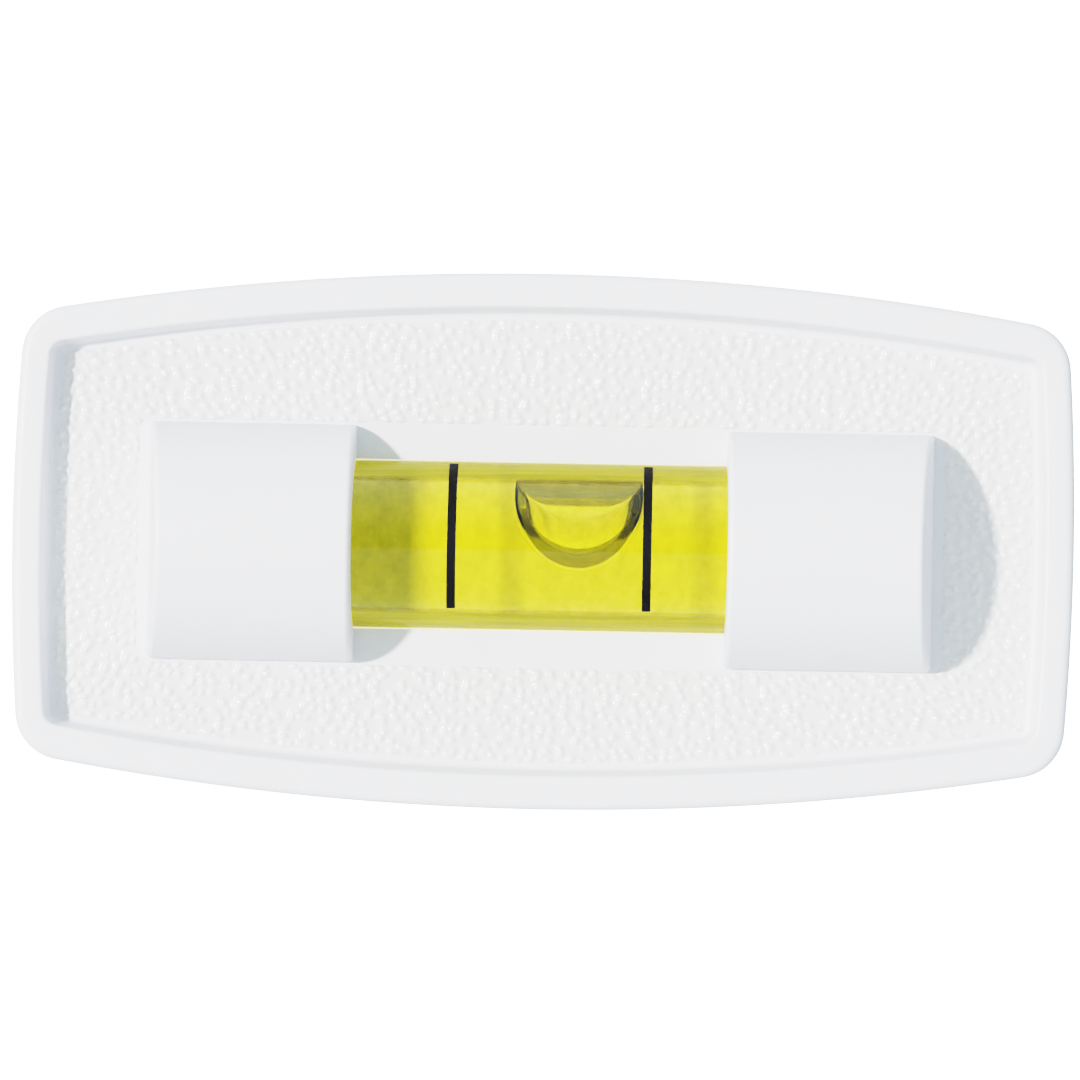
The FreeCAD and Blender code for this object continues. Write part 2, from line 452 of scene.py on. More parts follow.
@dataclass(frozen=True)
class FoamCore:
    """Closed-cell foam: fine cut cells with a soft matt surface."""

    name: str
    tone: Colour = (0.7, 0.7, 0.68)
    cell_mm: float = 0.16
    cell_depth_mm: float = 0.03
    roughness: float = 0.85

    def material(self) -> bpy.types.Material:
        """Builds the material.

        Returns:
            The finished material.
        """
        material, wiring, shader, _ = blank_material(self.name)
        place = wiring.add("ShaderNodeTexCoord")
        cells = wiring.add("ShaderNodeTexVoronoi", {"Scale": 1.0 / (self.cell_mm * MM)})
        wiring.link(place, "Object", cells, "Vector")
        # Painted shade: the cell pits, which the bump sinks, are coloured darker than their rims.
        ramp = wiring.add("ShaderNodeValToRGB")
        ramp.color_ramp.elements[0].color = (*scaled(self.tone, 0.72), 1.0)
        ramp.color_ramp.elements[1].color = (*self.tone, 1.0)
        ramp.color_ramp.elements[1].position = 0.45
        wiring.link(cells, "Distance", ramp, "Fac")
        wiring.link(ramp, "Color", shader, "Base Color")
        add_bump(wiring, cells.outputs["Distance"], shader, self.cell_depth_mm)
        shader.inputs["Roughness"].default_value = self.roughness
        return material


@dataclass(frozen=True)
class TackyFilm:
    """Pressure-sensitive adhesive or cured glue: glossy, uneven and a little cloudy."""

    name: str
    tone: Colour
    gloss_low: float = 0.12
    gloss_high: float = 0.34
    ripple_mm: float = 0.9
    ripple_depth_mm: float = 0.02

    def material(self) -> bpy.types.Material:
        """Builds the material.

        Returns:
            The finished material.
        """
        material, wiring, shader, _ = blank_material(self.name)
        clouds = noise(wiring, self.ripple_mm * 3.0)
        ramp = shade_between(wiring, clouds, scaled(self.tone, 0.95), scaled(self.tone, 1.03))
        wiring.link(ramp, "Color", shader, "Base Color")
        ripple = noise(wiring, self.ripple_mm, detail=4.0)
        spread_roughness(wiring, ripple, shader, self.gloss_low, self.gloss_high)
        add_bump(wiring, ripple.outputs["Fac"], shader, self.ripple_depth_mm)
        shader.inputs["Subsurface Weight"].default_value = 0.15
        shader.inputs["Subsurface Scale"].default_value = 0.5 * MM
        return material


# ---------------------------------------------------------------- mesh helpers


def at(x: float, height: float, z: float) -> Point:
    """A place in metres from millimetres along the level, in front of the wall and up."""
    return (x * MM, -height * MM, z * MM)


def mesh_piece(name: str, points: list[Point], faces: list[tuple[int, ...]]) -> bpy.types.Object:
    """Makes a closed piece from points in metres, with its faces turned outwards.

    Args:
        name: the piece's name.
        points: the corners.
        faces: the corner numbers of each face.

    Returns:
        The new object, at the origin.
    """
    mesh = bpy.data.meshes.new(name)
    mesh.from_pydata(points, [], faces)
    shell = bmesh.new()
    shell.from_mesh(mesh)
    bmesh.ops.recalc_face_normals(shell, faces=shell.faces[:])
    shell.to_mesh(mesh)
    shell.free()
    mesh.update()
    piece = bpy.data.objects.new(name, mesh)
    bpy.context.scene.collection.objects.link(piece)
    return piece


def stacked(name: str, loops: list[list[Point]]) -> bpy.types.Object:
    """Joins equal loops into a closed skin with a flat cap on the first and the last.

    Args:
        name: the piece's name.
        loops: the loops, each with the same number of points.

    Returns:
        The new piece.
    """
    count = len(loops[0])
    faces = [tuple(range(count)), tuple((len(loops) - 1) * count + index for index in range(count))]
    faces += strip_faces(len(loops), count)
    return mesh_piece(name, [point for loop in loops for point in loop], faces)


def strip_faces(rows: int, count: int, closed: bool = False) -> list[tuple[int, ...]]:
    """The quads between neighbouring loops of equal length.

    Args:
        rows: how many loops there are.
        count: how many points each loop has.
        closed: whether the last loop meets the first again.

    Returns:
        The corner numbers of each quad.
    """
    faces = []
    for row in range(rows if closed else rows - 1):
        below = row * count
        above = ((row + 1) % rows) * count
        for index in range(count):
            after = (index + 1) % count
            faces.append((below + index, below + after, above + after, above + index))
    return faces


def turned(name: str, profile: list[tuple[float, float]], centre: Vector, steps: int) -> bpy.types.Object:
    """Turns a profile about a line along X. A profile point of no radius becomes one pole.

    Args:
        name: the piece's name.
        profile: places along X and radii, in millimetres from the centre.
        centre: the middle of the axis, in metres.
        steps: how many facets the turn has.

    Returns:
        The new piece.
    """
    points: list[Point] = []
    rings: list[list[int]] = []
    for along, radius in profile:
        places = 1 if radius < 1e-9 else steps
        ring = []
        for index in range(places):
            angle = 2 * math.pi * index / steps
            ring.append(len(points))
            points.append((centre.x + along * MM, centre.y + radius * MM * math.sin(angle),
                           centre.z + radius * MM * math.cos(angle)))
        rings.append(ring)
    faces = []
    for first, second in zip(rings, rings[1:]):
        for index in range(steps):
            after = (index + 1) % steps
            corners = [first[index % len(first)], first[after % len(first)],
                       second[after % len(second)], second[index % len(second)]]
            faces.append(tuple(dict.fromkeys(corners)))
    return mesh_piece(name, points, [face for face in faces if len(face) > 2])


def arc_profile(centre: tuple[float, float], radius: float, start: float, end: float,
                steps: int) -> list[tuple[float, float]]:
    """Points along an arc in a flat profile.

    Args:
        centre: the arc's centre.
        radius: its radius.
        start: its first angle in degrees.
        end: its last angle in degrees.
        steps: how many runs it has.

    Returns:
        The points, both ends included.
    """
    places = []
    for index in range(steps + 1):
        angle = math.radians(start + (end - start) * index / steps)
        places.append((centre[0] + radius * math.cos(angle), centre[1] + radius * math.sin(angle)))
    return places


def plain_mesh(piece: bpy.types.Object) -> None:
    """Turns a piece's evaluated result into its own mesh and drops its modifiers.

    Args:
        piece: the piece.
    """
    bpy.context.view_layer.update()
    graph = bpy.context.evaluated_depsgraph_get()
    mesh = bpy.data.meshes.new_from_object(piece.evaluated_get(graph), preserve_all_data_layers=True, depsgraph=graph)
    piece.modifiers.clear()
    piece.data = mesh


def combine(piece: bpy.types.Object, tool: bpy.types.Object, how: Join) -> None:
    """Adds a solid to a piece or cuts it away, and removes the tool.

    Args:
        piece: the piece that changes.
        tool: the other solid.
        how: whether it is added or cut away.
    """
    modifier = piece.modifiers.new("combine", "BOOLEAN")
    modifier.operation = how.value
    modifier.solver = "MANIFOLD"
    modifier.object = tool
    plain_mesh(piece)
    bpy.data.objects.remove(tool)


def smooth(piece: bpy.types.Object, crease_degrees: float = 35.0) -> None:
    """Shades a piece smooth, with flats kept flat beside their rounds.

    Args:
        piece: the piece.
        crease_degrees: the angle past which an edge stays sharp.
    """
    piece.data.polygons.foreach_set("use_smooth", [True] * len(piece.data.polygons))
    piece.data.set_sharp_from_angle(angle=math.radians(crease_degrees))
    weighting = piece.modifiers.new("weighting", "WEIGHTED_NORMAL")
    weighting.keep_sharp = True
    plain_mesh(piece)


def dress(piece: bpy.types.Object, materials: list[bpy.types.Material]) -> None:
    """Gives a piece its materials.

    Args:
        piece: the piece.
        materials: one material for each slot.
    """
    numbers = [polygon.material_index for polygon in piece.data.polygons]
    piece.data.materials.clear()
    for material in materials:
        piece.data.materials.append(material)
    piece.data.polygons.foreach_set("material_index", [min(number, len(materials) - 1) for number in numbers])


def mount(piece: bpy.types.Object, body: Body, slot: Slot, *nodes: str) -> None:
    """Puts a finished piece on its body and in place of its CAD nodes.

    Args:
        piece: the finished piece.
        body: the body that carries it.
        slot: not used.
        nodes: the CAD nodes that it stands for.
    """
    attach(piece, body.value)
    if nodes:
        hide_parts(*nodes)
    piece.data.calc_loop_triangles()
    log.info("%s: %d triangles on %s", piece.name, len(piece.data.loop_triangles), body.value)


class GeometryTree:
    """A geometry node tree with named inputs, which is run on a piece and leaves a plain mesh."""

    def __init__(self, name: str, sizes: dict[str, float], material: bpy.types.Material) -> None:
        """Makes the tree's sockets and its input node.

        Args:
            name: the tree's name.
            sizes: its named values, with lengths in metres.
            material: the finish that the tree sets.
        """
        self.tree = bpy.data.node_groups.new(name, "GeometryNodeTree")
        sockets = self.tree.interface
        sockets.new_socket("Geometry", in_out="INPUT", socket_type="NodeSocketGeometry")
        self.values: dict[str, object] = {}
        for label, value in sizes.items():
            entry = sockets.new_socket(label, in_out="INPUT", socket_type="NodeSocketFloat")
            self.values[entry.identifier] = value
        finish = sockets.new_socket("Finish", in_out="INPUT", socket_type="NodeSocketMaterial")
        self.values[finish.identifier] = material
        sockets.new_socket("Geometry", in_out="OUTPUT", socket_type="NodeSocketGeometry")
        self.wiring = Wiring(self.tree)
        self.source = self.wiring.add("NodeGroupInput")

    def run(self, piece: bpy.types.Object, shape: bpy.types.NodeSocket) -> None:
        """Ends the tree and runs it on a piece.

        Args:
            piece: the piece, which takes the result as its own mesh.
            shape: the output that holds the tree's shape.
        """
        real = self.wiring.add("GeometryNodeRealizeInstances")
        painted = self.wiring.add("GeometryNodeSetMaterial")
        result = self.wiring.add("NodeGroupOutput")
        self.tree.links.new(shape, real.inputs["Geometry"])
        self.wiring.link(real, "Geometry", painted, "Geometry")
        self.wiring.link(self.source, "Finish", painted, "Material")
        self.wiring.link(painted, "Geometry", result, 0)
        modifier = piece.modifiers.new(self.tree.name, "NODES")
        modifier.node_group = self.tree
        for identifier, value in self.values.items():
            modifier[identifier] = value
        plain_mesh(piece)

    def repeat(self, name: str, places: list[Point], shape: bpy.types.Node) -> bpy.types.Object:
        """Runs the tree so that one shape stands at each of a set of places.

        Args:
            name: the piece's name.
            places: where the shape goes, in metres.
            shape: the node that makes the shape.

        Returns:
            The result as a plain mesh.
        """
        instances = self.wiring.add("GeometryNodeInstanceOnPoints")
        self.wiring.link(self.source, "Geometry", instances, "Points")
        self.wiring.link(shape, "Mesh", instances, "Instance")
        piece = bpy.data.objects.new(name, bpy.data.meshes.new(name))
        piece.data.from_pydata(places, [], [])
        bpy.context.scene.collection.objects.link(piece)
        self.run(piece, instances.outputs["Instances"])
        return piece


# ---------------------------------------------------------------- the housing's outline


@dataclass
class Rail:
    """How many runs the three stretches of a quarter of a loop have."""

    side: int = 60
    corner: int = 14
    end: int = 30


@dataclass
class Outline:
    """The housing's outline: four shallow arcs and four rounded corners."""

    half_length: float
    half_width: float
    end_bow: float = 0.52
    side_bow: float = 2.71
    corner: float = 2.8

    def quarter(self, rail: Rail) -> np.ndarray:
        """The quarter from the upper crown to the right-hand crown.

        Args:
            rail: how many runs each stretch has.

        Returns:
            One row per point: its place (x, z) and its outward direction (x, z).
        """
        chord_x = self.half_length - self.end_bow
        chord_z = self.half_width - self.side_bow
        side_radius = (chord_x ** 2 + self.side_bow ** 2) / (2 * self.side_bow)
        end_radius = (chord_z ** 2 + self.end_bow ** 2) / (2 * self.end_bow)
        side_centre = np.array([0.0, self.half_width - side_radius])
        end_centre = np.array([self.half_length - end_radius, 0.0])
        corner_centre = self._meeting(side_centre, side_radius - self.corner, end_centre, end_radius - self.corner)
        side_turn = math.atan2(*(corner_centre - side_centre)[::-1])
        end_turn = math.atan2(*(corner_centre - end_centre)[::-1])
        rows = self._arc(side_centre, side_radius, math.pi / 2, side_turn, rail.side)[:-1]
        rows += self._arc(corner_centre, self.corner, side_turn, end_turn, rail.corner)[:-1]
        rows += self._arc(end_centre, end_radius, end_turn, 0.0, rail.end)
        return np.array(rows)

    @staticmethod
    def _meeting(first: np.ndarray, first_radius: float, second: np.ndarray, second_radius: float) -> np.ndarray:
        """Finds where two circles meet in the upper right quarter.

        Args:
            first: the first circle's centre.
            first_radius: its radius.
            second: the second circle's centre.
            second_radius: its radius.

        Returns:
            The place.
        """
        apart = second - first
        distance = float(np.linalg.norm(apart))
        along = (first_radius ** 2 - second_radius ** 2 + distance ** 2) / (2 * distance)
        across = math.sqrt(first_radius ** 2 - along ** 2)
        unit = apart / distance
        options = [first + unit * along + sign * across * np.array([-unit[1], unit[0]]) for sign in (-1, 1)]
        return max(options, key=lambda place: place[0] + place[1])

    @staticmethod
    def _arc(centre: np.ndarray, radius: float, start: float, end: float, runs: int) -> list[tuple[float, ...]]:
        """Goes along an arc.

        Args:
            centre: the arc's centre.
            radius: its radius.
            start: the angle that it starts at.
            end: the angle that it ends at.
            runs: how many runs it has.

        Returns:
            Each point's place and outward direction.
        """
        rows = []
        for index in range(runs + 1):
            angle = start + (end - start) * index / runs
            out = (math.cos(angle), math.sin(angle))
            rows.append((centre[0] + radius * out[0], centre[1] + radius * out[1], *out))
        return rows


@dataclass
class RoundedBox:
    """A rectangle with rounded corners, with points that pair up with the outline's."""

    half_x: float
    half_z: float
    corner: float

    def quarter(self, rail: Rail) -> np.ndarray:
        """The quarter from the upper middle to the right-hand middle, in the outline's own form.

        Args:
            rail: how many runs each stretch has.

        Returns:
            One row per point: its place (x, z) and its outward direction (x, z).
        """
        rows = []
        for index in range(rail.side):
            rows.append(((self.half_x - self.corner) * index / rail.side, self.half_z, 0.0, 1.0))
        for index in range(rail.corner):
            angle = math.pi / 2 * (1 - index / rail.corner)
            out = (math.cos(angle), math.sin(angle))
            rows.append((self.half_x - self.corner * (1 - out[0]), self.half_z - self.corner * (1 - out[1]), *out))
        for index in range(rail.end + 1):
            rows.append((self.half_x, (self.half_z - self.corner) * (1 - index / rail.end), 1.0, 0.0))
        return np.array(rows)


def whole_loop(quarter: np.ndarray, drop: float = 0.0) -> np.ndarray:
    """Mirrors a quarter into the whole loop, clockwise from the upper crown.

    Args:
        quarter: the quarter's rows.
        drop: how far the loop lies below the middle.

    Returns:
        The rows of the whole loop.
    """
    back = quarter[::-1]
    parts = [quarter, back * (1, -1, 1, -1), quarter * -1.0, back * (-1, 1, -1, 1)]
    rows = np.concatenate([part[:-1] for part in parts])
    rows[:, 1] -= drop
    return rows


# ---------------------------------------------------------------- housing


@dataclass
class Housing:
    """The one-piece front moulding: skirt, rim, panel, covers, vial well, ribs and pegs."""

    seat: Vector
    outline: Outline
    back: float
    crest: float
    plastic: MouldedPlastic
    well_painted_light: MouldedPlastic
    rim_at_ends: float = 1.65
    rim_at_sides: float = 1.95
    rim_rise: float = 2.1
    panel_height: float = 7.0
    panel_thickness: float = 1.6
    skirt_wall: float = 1.6
    front_round: float = 0.5
    inner_round: float = 0.22
    foot_round: float = 0.3
    back_break: float = 0.12
    round_steps: int = 6
    front_round_steps: int = 8
    draft: float = math.tan(math.radians(8.0))
    cover_shift: float = -0.16
    cover_inner_end: float = 10.48
    cover_outer_end: float = 22.24
    cover_inner_lean: float = math.tan(math.radians(1.2))
    cover_outer_lean: float = math.tan(math.radians(6.0))
    cover_edge_round: float = 0.3
    cover_base: float = 0.6
    cover_steps: int = 96
    well_half: float = 4.8
    well_wall: float = 1.4
    well_reach: float = 20.74
    well_corner: float = 0.4
    well_steps: int = 96
    well_open: float = 1.0
    well_slack: float = 0.03
    well_end_slack: float = 0.01
    plate_front: float = 2.1
    rib_places: tuple[float, ...] = (-16.0, -5.5, 5.5, 16.0)
    rib_size: tuple[float, float, float] = (1.0, 2.6, 8.4)
    rib_middle: float = 9.85
    peg_place: tuple[float, float] = (25.0, 8.6)
    peg_radius: float = 1.0
    peg_boss_radius: float = 1.9
    peg_end: float = 1.3
    peg_facets: int = 40
    root: float = 0.2
    rail: Rail = field(default_factory=Rail)

    @property
    def rim_height(self) -> float:
        """The rim's height in front of the wall."""
        return self.panel_height + self.rim_rise

    def rim_width(self, rows: np.ndarray) -> np.ndarray:
        """The rim's width at each point of a loop, narrower at the ends than along the sides."""
        return self.rim_at_ends * rows[:, 2] ** 2 + self.rim_at_sides * rows[:, 3] ** 2

    def inset_loop(self, rows: np.ndarray, rim_share: float, extra: float, height: float) -> list[Point]:
        """The outline drawn inwards at one height.

        Args:
            rows: the outline's loop.
            rim_share: how much of the rim's width it is drawn in by.
            extra: how much more, in millimetres.
            height: its height in front of the wall.

        Returns:
            The loop's points in metres.
        """
        inset = rim_share * self.rim_width(rows) + extra
        xs = rows[:, 0] - rows[:, 2] * inset
        zs = rows[:, 1] - rows[:, 3] * inset
        return [at(x, height, z) for x, z in zip(xs, zs)]

    def tray(self) -> bpy.types.Object:
        """The skirt, the raised rim and the recessed panel as one closed solid.

        Returns:
            The tray.
        """
        rows = whole_loop(self.outline.quarter(self.rail))
        panel_back = self.panel_height - self.panel_thickness
        top = self.rim_height
        steps = [(0, self.skirt_wall, panel_back), (0, self.skirt_wall, self.back + self.back_break),
                 (0, self.skirt_wall - self.back_break, self.back), (0, self.back_break, self.back),
                 (0, 0, self.back + self.back_break)]
        steps += [(0, self.front_round - across, top - self.front_round + up)
                  for across, up in arc_profile((0, 0), self.front_round, 0, 90, self.front_round_steps)]
        steps += [(1, across - self.inner_round, top - self.inner_round + up)
                  for across, up in arc_profile((0, 0), self.inner_round, 90, 0, self.round_steps)]
        foot = self.panel_height + self.foot_round
        lean = (top - self.inner_round - foot) * self.draft
        steps += [(1, lean + self.foot_round - across, foot - up)
                  for across, up in arc_profile((0, 0), self.foot_round, 0, 90, self.round_steps)]
        return stacked("housing_shell", [self.inset_loop(rows, *step) for step in steps])

    def cover(self, side: int) -> bpy.types.Object:
        """One half-round cover as a closed solid whose two ends lean inwards.

        Args:
            side: -1 for the left cover and 1 for the right one.

        Returns:
            The cover.
        """
        radius = self.crest - self.panel_height
        edge = self.cover_edge_round
        seat = self.seat.z / MM
        root = self.panel_height - self.cover_base
        rounding = [(edge * (1 - math.cos(math.radians(turn))), radius - edge * (1 - math.sin(math.radians(turn))))
                    for turn in range(0, 91, 15)]
        inner = [(self.cover_inner_end + back, self.cover_inner_lean, reach) for back, reach in rounding]
        outer = [(self.cover_outer_end - back, -self.cover_outer_lean, reach) for back, reach in rounding[::-1]]
        loops = []
        for place, lean, reach in inner + outer:
            middle = self.cover_shift + side * place
            loop = [at(middle, root, seat - reach)]
            for step in range(self.cover_steps + 1):
                turn = math.pi * (step / self.cover_steps - 0.5)
                rise = reach * math.cos(turn)
                loop.append(at(middle + side * lean * rise, self.panel_height + rise, seat + reach * math.sin(turn)))
            loop.append(at(middle, root, seat + reach))
            loops.append(loop)
        return stacked("cover", loops)

    def well_block(self) -> bpy.types.Object:
        """The block behind the panel that the vial's well is cut into.

        Returns:
            The shape as a closed mesh.
        """
        half = self.well_half + self.well_wall
        drop = -self.seat.z / MM
        rows = whole_loop(RoundedBox(self.cover_outer_end, half, self.well_corner).quarter(self.rail), drop)
        levels = (self.plate_front, self.panel_height - self.panel_thickness / 2)
        return stacked("well_block", [[at(x + self.cover_shift, height, z) for x, z in rows[:, :2]]
                                      for height in levels])

    def well_space(self) -> bpy.types.Object:
        """The space that the vial drops into: half round in front and straight-sided behind.

        Returns:
            The shape as a closed mesh.
        """
        middle = self.seat.z / MM
        behind = self.back - self.well_open
        loops = []
        for x in (self.cover_shift - self.well_reach, self.cover_shift + self.well_reach):
            loop = [at(x, behind, middle - self.well_half)]
            for step in range(self.well_steps + 1):
                turn = math.pi * (step / self.well_steps - 0.5)
                loop.append(at(x, self.panel_height + self.well_half * math.cos(turn),
                               middle + self.well_half * math.sin(turn)))
            loop.append(at(x, behind, middle + self.well_half))
            loops.append(loop)
        return stacked("well_space", loops)

    def build(self) -> bpy.types.Object:
        """Builds and dresses the moulding.

        Returns:
            The finished housing shell.
        """
        shell = self.tray()
        for side in (-1, 1):
            combine(shell, self.cover(side), Join.ADD)
        combine(shell, self.well_block(), Join.ADD)
        material = self.plastic.material()
        for tool in (self.ribs(material), self.pegs(material)):
            combine(shell, tool, Join.ADD)
        combine(shell, self.well_space(), Join.CUT)
        self.mark_well(shell)
        smooth(shell)
        dress(shell, [material, self.well_painted_light.material()])
        mount(shell, Body.LEVEL, Slot.HOUSING, "front_housing")
        return shell

    def mark_well(self, shell: bpy.types.Object) -> None:
        """Puts the faces of the vial's well in the second material slot, which paints light on them: a yellow tone for
        the spirit-coloured light that falls on the walls, and a glow for light coming through the thin covers.

        Args:
            shell: the finished moulding.
        """
        for polygon in shell.data.polygons:
            spot = polygon.center / MM
            forward = min(spot.y + self.panel_height, 0.0)
            across = math.hypot(spot.z - self.seat.z / MM, forward)
            within = abs(spot.x - self.cover_shift) < self.well_reach + self.well_end_slack
            polygon.material_index = int(within and abs(across - self.well_half) < self.well_slack)

    def ribs(self, material: bpy.types.Material) -> bpy.types.Object:
        """The stiffening ribs behind the panel, repeated by nodes.

        Args:
            material: the housing's material.

        Returns:
            The ribs as one plain mesh.
        """
        thickness, depth, length = self.rib_size
        height = self.panel_height - self.panel_thickness - depth / 2 + self.root
        places = [at(x, height, side * self.rib_middle) for x in self.rib_places for side in (-1, 1)]
        sizes = {"Thickness": thickness * MM, "Depth": depth * MM, "Length": length * MM}
        row = GeometryTree("rib_row", sizes, material)
        size = row.wiring.add("ShaderNodeCombineXYZ")
        cube = row.wiring.add("GeometryNodeMeshCube")
        for entry, name in enumerate(sizes):
            row.wiring.link(row.source, name, size, entry)
        row.wiring.link(size, "Vector", cube, "Size")
        return row.repeat("ribs", places, cube)

    def pegs(self, material: bpy.types.Material) -> bpy.types.Object:
        """The four locating pegs on their bosses, repeated by nodes.

        Args:
            material: the housing's material.

        Returns:
            The pegs as one plain mesh.
        """
        base = self.panel_height - self.panel_thickness + self.root
        places = [at(side_x * self.peg_place[0], base, side_z * self.peg_place[1])
                  for side_x in (-1, 1) for side_z in (-1, 1)]
        pegs = GeometryTree("peg_set", {"Boss Radius": self.peg_boss_radius * MM,
                                        "Boss Length": (base - self.plate_front) * MM,
                                        "Peg Radius": self.peg_radius * MM,
                                        "Peg Length": (base - self.peg_end) * MM}, material)
        wiring = pegs.wiring
        merged = wiring.add("GeometryNodeMeshBoolean", operation="UNION", solver="MANIFOLD")
        for kind in ("Boss", "Peg"):
            post = wiring.add("GeometryNodeMeshCylinder", {"Vertices": self.peg_facets})
            shift = wiring.add("ShaderNodeCombineXYZ")
            turn = wiring.add("GeometryNodeTransform", {"Rotation": (math.pi / 2, 0.0, 0.0)})
            wiring.link(pegs.source, kind + " Radius", post, "Radius")
            wiring.link(pegs.source, kind + " Length", post, "Depth")
            half = wiring.math("MULTIPLY", pegs.source.outputs[kind + " Length"], 0.5)
            wiring.tree.links.new(half, shift.inputs["Y"])
            wiring.link(shift, "Vector", turn, "Translation")
            wiring.link(post, "Mesh", turn, "Geometry")
            wiring.link(turn, "Geometry", merged, "Mesh 2")
        return pegs.repeat("pegs", places, merged)


# ---------------------------------------------------------------- panel grain


